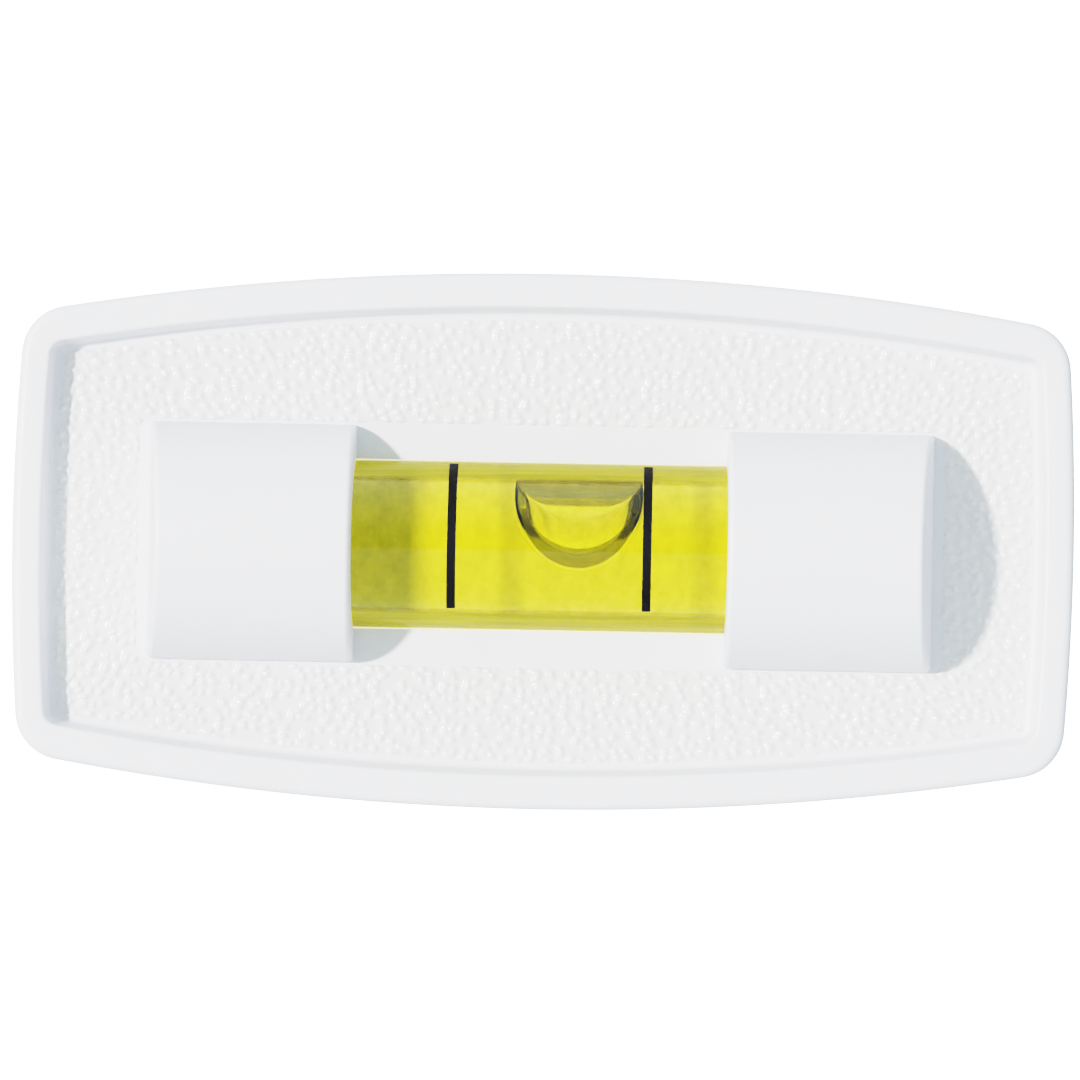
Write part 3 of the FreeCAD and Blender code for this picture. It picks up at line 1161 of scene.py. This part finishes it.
@dataclass
class PanelGrain:
    """The pebbled skin of the recessed panel, between the rim's foot and the smooth middle."""

    housing: Housing
    plastic: MouldedPlastic
    margin: float = 0.55
    strip_margin: float = 0.12
    middle_corner: float = 0.6
    foot_gap: float = 0.02
    fade: float = 0.14
    sink: float = 0.03
    lift: float = 0.008
    root: float = 0.2
    pebble: float = 0.62
    pebble_reach: float = 0.55
    pebble_blend: float = 0.2
    drift: float = 0.7
    drift_scale: float = 0.9
    relief: float = 0.17
    rows_across: int = 52
    seed: float = 7.0
    rail: Rail = field(default_factory=lambda: Rail(side=250, corner=40, end=125))

    def build(self) -> bpy.types.Object:
        """Builds and dresses the grained skin.

        Returns:
            The finished skin.
        """
        outer, inner = self.borders()
        width = np.linalg.norm(outer - inner, axis=1) / MM
        loops, relief_share = [], []
        for row in range(self.rows_across + 1):
            share = row / self.rows_across
            loops.append(outer + (inner - outer) * share)
            relief_share.append(np.clip(np.minimum(share, 1.0 - share) * width / self.fade, 0.0, 1.0))
        for border in (inner, outer):
            loops.append(border + np.array([0.0, self.root * MM, 0.0]))
            relief_share.append(np.zeros(len(width)))
        points = [tuple(point) for point in np.concatenate(loops)]
        piece = mesh_piece("panel_grain", points, strip_faces(len(loops), len(width), closed=True))
        on_front = np.ones(len(points), np.float32)
        on_front[-2 * len(width):] = 0.0
        marks = {"relief_share": np.concatenate(relief_share).astype(np.float32), "on_front": on_front}
        for name, values in marks.items():
            piece.data.attributes.new(name, "FLOAT", "POINT").data.foreach_set("value", values)
        self.raise_pebbles(piece)
        piece.data.polygons.foreach_set("use_smooth", [True] * len(piece.data.polygons))
        for name in marks:
            piece.data.attributes.remove(piece.data.attributes[name])
        mount(piece, Body.LEVEL, Slot.HOUSING)
        return piece

    def borders(self) -> tuple[np.ndarray, np.ndarray]:
        """The skin's two borders, with the same number of points in each.

        Returns:
            The places along the rim's foot and round the smooth middle, in metres.
        """
        housing = self.housing
        foot = housing.foot_round + housing.rim_rise * housing.draft + self.foot_gap
        rim = whole_loop(housing.outline.quarter(self.rail))
        radius = housing.crest - housing.panel_height
        middle = RoundedBox(housing.cover_outer_end + self.margin, radius + self.strip_margin, self.middle_corner)
        rows = whole_loop(middle.quarter(self.rail), -housing.seat.z / MM)
        outer = housing.inset_loop(rim, 1.0, foot, housing.panel_height)
        inner = [at(x + housing.cover_shift, housing.panel_height, z) for x, z in rows[:, :2]]
        return np.array(outer), np.array(inner)

    def raise_pebbles(self, piece: bpy.types.Object) -> None:
        """Raises the pebbles on the skin's front with geometry nodes.

        Args:
            piece: the flat skin.
        """
        relief = GeometryTree("pebble_relief", {"Pebble Size": self.pebble * MM, "Relief": self.relief * MM,
                                                "Sink": self.sink * MM, "Lift": (self.sink + self.lift) * MM,
                                                "Seed": self.seed}, self.plastic.material())
        wiring, sizes = relief.wiring, relief.source.outputs
        share, front = (wiring.add("GeometryNodeInputNamedAttribute", {"Name": name},
                                   data_type="FLOAT").outputs["Attribute"] for name in ("relief_share", "on_front"))
        raised = wiring.math("ADD", wiring.math("MULTIPLY", self.domes(relief), sizes["Relief"]), sizes["Lift"])
        sunk = wiring.math("SUBTRACT", wiring.math("MULTIPLY", raised, share), sizes["Sink"])
        forward = wiring.math("MULTIPLY", wiring.math("MULTIPLY", sunk, front), -1.0)
        offset = wiring.add("ShaderNodeCombineXYZ")
        moved = wiring.add("GeometryNodeSetPosition")
        wiring.tree.links.new(forward, offset.inputs["Y"])
        wiring.link(relief.source, "Geometry", moved, "Geometry")
        wiring.link(offset, "Vector", moved, "Offset")
        relief.run(piece, moved.outputs["Geometry"])

    def domes(self, relief: GeometryTree) -> bpy.types.NodeSocket:
        """Adds the pebbles' pattern: close cells with rounded tops, pushed about by a slow drift.

        Args:
            relief: the tree that the pattern is for.

        Returns:
            The height, from 0 between the pebbles to 1 on their tops.
        """
        wiring = relief.wiring
        place = wiring.add("GeometryNodeInputPosition")
        parts = wiring.add("ShaderNodeSeparateXYZ")
        flat = wiring.add("ShaderNodeCombineXYZ")
        spaced = wiring.add("ShaderNodeVectorMath", operation="SCALE")
        drift = wiring.add("ShaderNodeTexNoise", {"Scale": self.drift_scale, "Detail": 1.0})
        pushed = wiring.add("ShaderNodeVectorMath", {1: (self.drift, self.drift, 0.0)}, operation="MULTIPLY")
        bent = wiring.add("ShaderNodeVectorMath", operation="ADD")
        cells = wiring.add("ShaderNodeTexVoronoi", {"Scale": 1.0, "Smoothness": self.pebble_blend,
                                                    "Randomness": 1.0},
                           voronoi_dimensions="2D", feature="SMOOTH_F1")
        dome = wiring.add("ShaderNodeMapRange", {"From Min": 0.0, "From Max": self.pebble_reach,
                                                 "To Min": 1.0, "To Max": 0.0}, interpolation_type="SMOOTHSTEP")
        per_pebble = wiring.math("DIVIDE", 1.0, relief.source.outputs["Pebble Size"])
        wiring.tree.links.new(per_pebble, spaced.inputs["Scale"])
        for start, output, end, entry in ((place, "Position", parts, "Vector"), (parts, "X", flat, "X"),
                                          (parts, "Z", flat, "Y"), (relief.source, "Seed", flat, "Z"),
                                          (flat, "Vector", spaced, 0), (spaced, "Vector", drift, "Vector"),
                                          (drift, "Color", pushed, 0), (spaced, "Vector", bent, 0),
                                          (pushed, "Vector", bent, 1), (bent, "Vector", cells, "Vector"),
                                          (cells, "Distance", dome, "Value")):
            wiring.link(start, output, end, entry)
        return dome.outputs["Result"]


# ---------------------------------------------------------------- vial


class BarrelFace(Enum):
    """The two kinds of face on the barrel."""

    OUTSIDE = 0
    BORE = 1


@dataclass
class Vial:
    """The clear barrel, the tinted spirit in it and its end plug."""

    centre: Vector
    radius: float
    half_length: float
    bore_radius: float = 2.9
    bore_half_length: float = 16.0
    bore_arc_radius: float = 300.0
    socket_radius: float = 3.4
    seal_radius: float = 3.9
    seal_depth: float = 0.4
    end_round: float = 0.3
    round_steps: int = 5
    bore_slack: float = 0.05
    end_slack: float = 0.01
    spirit_gap: float = 0.012
    acrylic: float = 1.49
    spirit: float = 1.43
    facets: int = 256
    bore_runs: int = 48

    def bore_profile(self, inset: float) -> list[tuple[float, float]]:
        """The bore's long arc from its right end to its left end.

        Args:
            inset: how far inside the bore's wall the arc runs.

        Returns:
            Places along the vial and radii.
        """
        reach = self.bore_half_length - inset
        places = []
        for step in range(self.bore_runs + 1):
            along = reach * (1 - 2 * step / self.bore_runs)
            fall = self.bore_arc_radius - math.sqrt(self.bore_arc_radius ** 2 - along ** 2)
            places.append((along, self.bore_radius - fall - inset))
        return places

    def build_barrel(self) -> bpy.types.Object:
        """Builds the barrel with a real bore, plug socket and sealing groove.

        Returns:
            The finished barrel.
        """
        end = self.half_length
        round_off = self.end_round
        level = self.radius - round_off
        outside = [(-end, 0.0), (-end, level)]
        outside += arc_profile((-end + round_off, level), round_off, 180, 90, self.round_steps)[1:]
        outside += arc_profile((end - round_off, level), round_off, 90, 0, self.round_steps)
        outside += [(end, self.seal_radius), (end - self.seal_depth, self.seal_radius),
                    (end - self.seal_depth, self.socket_radius), (self.bore_half_length, self.socket_radius)]
        bore = self.bore_profile(0.0)
        profile = outside + bore + [(-self.bore_half_length, 0.0)]
        barrel = turned("barrel_clear", profile, self.centre, self.facets)
        limit = (self.bore_radius + self.bore_slack) * MM
        reach = (self.bore_half_length + self.end_slack) * MM
        for polygon in barrel.data.polygons:
            across = math.hypot(polygon.center.y - self.centre.y, polygon.center.z - self.centre.z)
            within = abs(polygon.center.x - self.centre.x) < reach
            face = BarrelFace.BORE if within and across < limit else BarrelFace.OUTSIDE
            polygon.material_index = face.value
        smooth(barrel, 30.0)
        outer = BarrelAcrylic("barrel_acrylic", self.acrylic, self.centre.z, self.radius * MM)
        inner = ClearGlassy("barrel_bore_face", self.acrylic / self.spirit, smear=0.0)
        dress(barrel, [outer.material(), inner.material()])
        mount(barrel, Body.LEVEL, Slot.ACRYLIC, "vial_barrel")
        return barrel

    def build_spirit(self, finish: TintedSpirit) -> bpy.types.Object:
        """Builds the column of spirit, a hair inside the bore.

        Args:
            finish: the spirit's finish.

        Returns:
            The finished column.
        """
        arc = self.bore_profile(self.spirit_gap)
        profile = [(arc[0][0], 0.0)] + arc + [(arc[-1][0], 0.0)]
        column = turned("spirit_column", profile, self.centre, self.facets // 2)
        smooth(column, 30.0)
        dress(column, [finish.material()])
        mount(column, Body.LEVEL, Slot.SPIRIT, "vial_fluid")
        return column


@dataclass
class Bubble:
    """The air bubble: an egg of air pressed against the top of the bore."""

    vial: Vial
    offset: float = 1.6
    rise: float = 2.0
    half_size: Point = (3.73, 2.45, 2.97)
    ceiling_radius: float = 2.67
    ceiling_lift: float = 0.13
    edge_softness: float = 0.09
    film: float = 0.012
    rows: int = 72
    columns: int = 144

    def shell_points(self, growth: float) -> tuple[list[Point], list[tuple[int, ...]]]:
        """The bubble's surface, grown by a small amount.

        Args:
            growth: how much larger than the bubble the surface is.

        Returns:
            The points in metres and the faces.
        """
        points = [self.place(0.0, 0.0, growth)]
        for row in range(1, self.rows):
            for column in range(self.columns):
                points.append(self.place(math.pi * row / self.rows, 2 * math.pi * column / self.columns, growth))
        points.append(self.place(math.pi, 0.0, growth))
        faces = []
        last = len(points) - 1
        for column in range(self.columns):
            after = (column + 1) % self.columns
            faces.append((0, 1 + after, 1 + column))
            base = 1 + (self.rows - 2) * self.columns
            faces.append((last, base + column, base + after))
        for row in range(self.rows - 2):
            for column in range(self.columns):
                after = (column + 1) % self.columns
                near = 1 + row * self.columns
                far = near + self.columns
                faces.append((near + column, near + after, far + after, far + column))
        return points, faces

    def place(self, tilt: float, turn: float, growth: float) -> Point:
        """A point of the surface at two angles, held under the ceiling of the bore.

        Args:
            tilt: the angle from the bubble's right-hand tip.
            turn: the angle round its long axis.
            growth: how much larger than the bubble the surface is.

        Returns:
            The point in metres.
        """
        x = self.offset + (self.half_size[0] + growth) * math.cos(tilt)
        y = (self.half_size[1] + growth) * math.sin(tilt) * math.cos(turn)
        z = self.rise + (self.half_size[2] + growth) * math.sin(tilt) * math.sin(turn)
        out = math.hypot(y, z - self.ceiling_lift)
        limit = self.ceiling_radius + growth
        soft = self.edge_softness
        held = 0.5 * (out + limit - math.sqrt((out - limit) ** 2 + soft ** 2))
        share = held / out if out > 1e-6 else 1.0
        centre = self.vial.centre
        return (centre.x + x * MM, centre.y + y * share * MM,
                centre.z + (self.ceiling_lift + (z - self.ceiling_lift) * share) * MM)

    def build(self) -> bpy.types.Object:
        """Builds the bubble as a film of spirit round a hollow of air.

        Returns:
            The finished bubble.
        """
        outer_points, faces = self.shell_points(0.0)
        inner_points, _ = self.shell_points(-self.film)
        outer = mesh_piece("bubble_skin", outer_points, faces)
        inner = mesh_piece("bubble_hollow", inner_points, faces)
        inner.data.flip_normals()
        shell = bmesh.new()
        shell.from_mesh(outer.data)
        count = len(shell.faces)
        shell.from_mesh(inner.data)
        shell.faces.ensure_lookup_table()
        for index, face in enumerate(shell.faces):
            face.smooth = True
            face.material_index = 0 if index < count else 1
        shell.to_mesh(outer.data)
        shell.free()
        bpy.data.objects.remove(inner)
        film = ClearGlassy("bubble_film", 1.0, tint=(1.0, 1.0, 1.0), smear=0.0)
        air = ClearGlassy("bubble_air_face", self.vial.spirit, tint=(1.0, 1.0, 1.0), smear=0.0)
        dress(outer, [film.material(), air.material()])
        mount(outer, Body.BUBBLE, Slot.AIR, "vial_bubble")
        return outer


# ---------------------------------------------------------------- pad


@dataclass
class StickOnPad:
    """The double-sided pad: a foam core between two adhesive films."""

    outline: Outline
    back: float
    front: float
    inset: float = 0.8
    corner: float = 2.2
    waviness: float = 0.05
    waves: tuple[tuple[int, int], ...] = ((37, 5), (61, -3))
    crown: float = 0.12
    edge_rows: int = 9
    rail: Rail = field(default_factory=lambda: Rail(side=110, corner=16, end=56))

    def build(self) -> bpy.types.Object:
        """Builds the foam core with a slightly crowned, unevenly cut edge.

        Returns:
            The finished core.
        """
        outline = Outline(self.outline.half_length - self.inset, self.outline.half_width - self.inset,
                          self.outline.end_bow, self.outline.side_bow, self.corner)
        rows = whole_loop(outline.quarter(self.rail))
        around = np.linspace(0.0, 2 * math.pi, len(rows), endpoint=False)
        loops = []
        for share in np.linspace(0.0, 1.0, self.edge_rows):
            height = self.back + (self.front - self.back) * share
            bulge = self.crown * (math.sin(math.pi * share) - 1.0)
            ripples = sum(np.sin(count * around + shift * share) for count, shift in self.waves)
            wave = self.waviness * ripples / 2
            reach = bulge + np.minimum(wave * math.sin(math.pi * share), -bulge * 0.5)
            loops.append([at(x + nx * r, height, z + nz * r) for (x, z, nx, nz), r in zip(rows, reach)])
        core = stacked("foam_core", loops)
        smooth(core, 40.0)
        dress(core, [FoamCore("closed_cell_foam").material()])
        mount(core, Body.LEVEL, Slot.FOAM, "foam_pad")
        return core


# ---------------------------------------------------------------- CAD nodes that stay


@dataclass
class KeptNodes:
    """The CAD nodes whose own shape is shown, with a better finish."""

    finishes: dict[str, object]

    def dress(self) -> None:
        """Gives each node its finish."""
        made: dict[str, bpy.types.Material] = {}
        for name, finish in self.finishes.items():
            if finish.name not in made:
                made[finish.name] = finish.material()
            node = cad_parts[name]
            for index in range(len(node.material_slots)):
                node.material_slots[index].material = made[finish.name]
            log.info("%s: kept, dressed in %s", name, finish.name)


# ---------------------------------------------------------------- studio


class Reach(Enum):
    """What a light reaches: only some pieces, or all but some."""

    ONLY = "INCLUDE"
    ALL_BUT = "EXCLUDE"


@dataclass
class Studio:
    """The pale floor, the soft room, the key light and the camera."""

    behind_vial: list[bpy.types.Object]
    clear: list[bpy.types.Object]
    aim: Point = (-0.16, 8.45, 0.09)
    camera_distance: float = 500.0
    camera_side: float = 6.0
    camera_lift: float = 0.0
    frame_width: float = 61.02
    sensor: float = 36.0
    roll_degrees: float = 1.08
    key_towards: Point = (-4.55, -6.63, 0.79)
    key_strength: float = 6.36
    key_colour: Colour = (1.0, 0.925, 0.885)
    key_angle: float = 3.5
    bent_share: float = 0.496
    bent_strength: float = 5.6
    bent_angle: float = 8.0
    bent_colour: Colour = (1.0, 0.82, 0.1)
    seep_strength: float = 1.3
    seep_angle: float = 120.0
    seep_colour: Colour = (0.86, 1.0, 0.1)
    room_level: float = 0.6
    room_above: float = 1.2
    room_colour: Colour = (0.74, 0.9, 0.95)
    white_beyond: float = 18.0
    card_mm: float = 40.0
    card_shades: tuple[Colour, Colour] = ((0.88, 0.88, 0.88), (0.9, 0.9, 0.9))
    card_roughness: float = 0.9
    floor_drop: float = 88.0
    floor_half_size: float = 900.0

    def build(self) -> None:
        """Builds the floor, the lights and the camera."""
        settings = bpy.context.scene.view_settings
        settings.view_transform = "Filmic"
        settings.look = "High Contrast"
        self.room()
        self.floor()
        self.key_lights()
        self.camera()

    def room(self) -> None:
        """Adds the room: soft light, stronger from above and below, and plain white behind everything."""
        world = bpy.data.worlds.new("room")
        world.use_nodes = True
        wiring = Wiring(world.node_tree)
        place = wiring.add("ShaderNodeTexCoord")
        parts = wiring.add("ShaderNodeSeparateXYZ")
        light = wiring.add("ShaderNodeBackground")
        beyond = wiring.add("ShaderNodeBackground", {"Strength": self.white_beyond})
        seen = wiring.add("ShaderNodeLightPath")
        either = wiring.add("ShaderNodeMixShader")
        output = wiring.add("ShaderNodeOutputWorld")
        beyond.inputs["Color"].default_value = (1.0, 1.0, 1.0, 1.0)
        light.inputs["Color"].default_value = (*self.room_colour, 1.0)
        wiring.link(place, "Generated", parts, "Vector")
        upward = parts.outputs["Z"]
        level = wiring.math("MULTIPLY_ADD", wiring.math("MULTIPLY", upward, upward), self.room_above, self.room_level)
        wiring.tree.links.new(level, light.inputs["Strength"])
        wiring.link(seen, "Is Camera Ray", either, "Fac")
        wiring.link(light, "Background", either, 1)
        wiring.link(beyond, "Background", either, 2)
        wiring.link(either, "Shader", output, "Surface")
        bpy.context.scene.world = world

    def floor(self) -> None:
        """Adds the floor, a sheet of matt pale card below the level."""
        material, wiring, shader, _ = blank_material("floor_card")
        ramp = shade_between(wiring, noise(wiring, self.card_mm), *self.card_shades)
        wiring.link(ramp, "Color", shader, "Base Color")
        shader.inputs["Roughness"].default_value = self.card_roughness
        size = self.floor_half_size
        corners = [at(x, height, -self.floor_drop)
                   for x, height in ((-size, size), (size, size), (size, -size), (-size, -size))]
        mesh = bpy.data.meshes.new("floor")
        mesh.from_pydata(corners, [], [(0, 1, 2, 3)])
        mesh.materials.append(material)
        floor = bpy.data.objects.new("floor", mesh)
        bpy.context.scene.collection.objects.link(floor)

    def key_lights(self) -> None:
        """Adds the soft key from the upper left, and what of it reaches the plate behind the vial.

        Spirit bends and tints that light, so the plate is lit more steeply and in yellow, and a little more of it
        seeps through the thin covers from all sides.
        """
        across, out, up = self.key_towards
        straight = self.sun("key", (across, out, up), self.key_strength, self.key_colour, self.key_angle)
        lower = (across * self.bent_share, out, up * self.bent_share)
        bent = self.sun("key_through_spirit", lower, self.bent_strength, self.bent_colour, self.bent_angle)
        seep = self.sun("light_through_covers", (0.0, -1.0, 0.0), self.seep_strength, self.seep_colour,
                        self.seep_angle)
        seep.data.use_shadow = False
        self.limit(straight, Reach.ALL_BUT, self.behind_vial + self.clear)
        self.limit(bent, Reach.ONLY, self.behind_vial)
        self.limit(seep, Reach.ONLY, self.behind_vial)

    @staticmethod
    def limit(lamp: bpy.types.Object, reach: Reach, pieces: list[bpy.types.Object]) -> None:
        """Sets which pieces a light reaches.

        Args:
            lamp: the light's object.
            reach: whether it reaches only the listed pieces, or all but those.
            pieces: the listed pieces.
        """
        receivers = bpy.data.collections.new(lamp.name + "_receivers")
        for piece in pieces:
            receivers.objects.link(piece)
        for entry in receivers.collection_objects:
            entry.light_linking.link_state = reach.value
        lamp.light_linking.receiver_collection = receivers

    def sun(self, name: str, towards: Point, strength: float, colour: Colour, angle: float) -> bpy.types.Object:
        """Adds one distant light.

        Args:
            name: the light's name.
            towards: the direction that the light comes from.
            strength: how strong it is.
            colour: its colour.
            angle: how wide it looks, in degrees.

        Returns:
            The light's object.
        """
        light = bpy.data.lights.new(name, "SUN")
        light.energy = strength
        light.color = colour
        light.angle = math.radians(angle)
        lamp = bpy.data.objects.new(name, light)
        bpy.context.scene.collection.objects.link(lamp)
        lamp.rotation_euler = Vector(towards).to_track_quat("Z", "Y").to_euler()
        return lamp

    def camera(self) -> None:
        """Adds the camera in front of the level, a touch to the right and turned a little."""
        aim = Vector(at(*self.aim))
        place = Vector(at(self.camera_side, self.aim[1] + self.camera_distance, self.camera_lift))
        data = bpy.data.cameras.new("view")
        data.sensor_width = self.sensor
        data.lens = self.sensor * self.camera_distance / self.frame_width
        data.clip_end = 10.0
        camera = bpy.data.objects.new("view", data)
        bpy.context.scene.collection.objects.link(camera)
        facing = (aim - place).to_track_quat("-Z", "Y").to_matrix().to_4x4()
        turn = Matrix.Rotation(math.radians(self.roll_degrees), 4, "Z")
        camera.matrix_world = Matrix.Translation(place) @ facing @ turn
        bpy.context.scene.camera = camera


# ---------------------------------------------------------------- assembly


def main() -> None:
    """Builds every piece of the level in order, then the studio."""
    logging.basicConfig(level=logging.INFO, format="%(message)s")
    housing_low, housing_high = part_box("front_housing")
    barrel_low, barrel_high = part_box("vial_barrel")
    foam_low, foam_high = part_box("foam_pad")
    centre = (barrel_low + barrel_high) / 2
    outline = Outline(housing_high.x / MM, housing_high.z / MM)
    white = MouldedPlastic("housing_plastic", (0.79, 0.8, 0.855))
    grained = MouldedPlastic("grained_plastic", (0.79, 0.785, 0.79), gloss_low=0.18, gloss_high=0.28)
    # Painted light on the well: the yellow tone stands for spirit-coloured light falling on the walls, and the glow
    # for light coming through the thin covers.
    spirit_lit_well = MouldedPlastic("well_painted_light", (0.8, 0.78, 0.5), glow=(1.2, 1.15, 0.7))
    housing = Housing(centre, outline, -housing_high.y / MM, -housing_low.y / MM, white, spirit_lit_well)
    housing.build()
    PanelGrain(housing, grained).build()
    vial = Vial(centre, (barrel_high.z - barrel_low.z) / 2 / MM, (barrel_high.x - barrel_low.x) / 2 / MM)
    clear = [vial.build_barrel(), vial.build_spirit(TintedSpirit("tinted_spirit", (0.985, 0.975, 0.03), 0.7))]
    clear.append(Bubble(vial).build())
    for piece in clear:
        piece.visible_shadow = False
    StickOnPad(outline, -foam_high.y / MM, -foam_low.y / MM).build()
    plate = MouldedPlastic("plate_plastic", (0.8, 0.8, 0.8))
    film = TackyFilm("pad_adhesive_film", (0.72, 0.71, 0.66))
    glue = TackyFilm("cured_glue", (0.72, 0.7, 0.6), ripple_mm=0.5)
    ink = PrintedInk("line_ink")
    KeptNodes({
        "back_plate": plate,
        "glue_dab_left": glue,
        "glue_dab_right": glue,
        "vial_end_plug": ClearGlassy("plug_acrylic", 1.49),
        "plug_seal_ring": TackyFilm("cured_sealant", (0.6, 0.6, 0.58), ripple_mm=0.3, ripple_depth_mm=0.01),
        "index_line_left": ink,
        "index_line_right": ink,
        "pad_adhesive_front": film,
        "pad_adhesive_back": film,
    }).dress()
    behind = [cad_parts[name] for name in ("back_plate", "glue_dab_left", "glue_dab_right")]
    Studio(behind, clear).build()


if __name__ == "__main__":
    main()
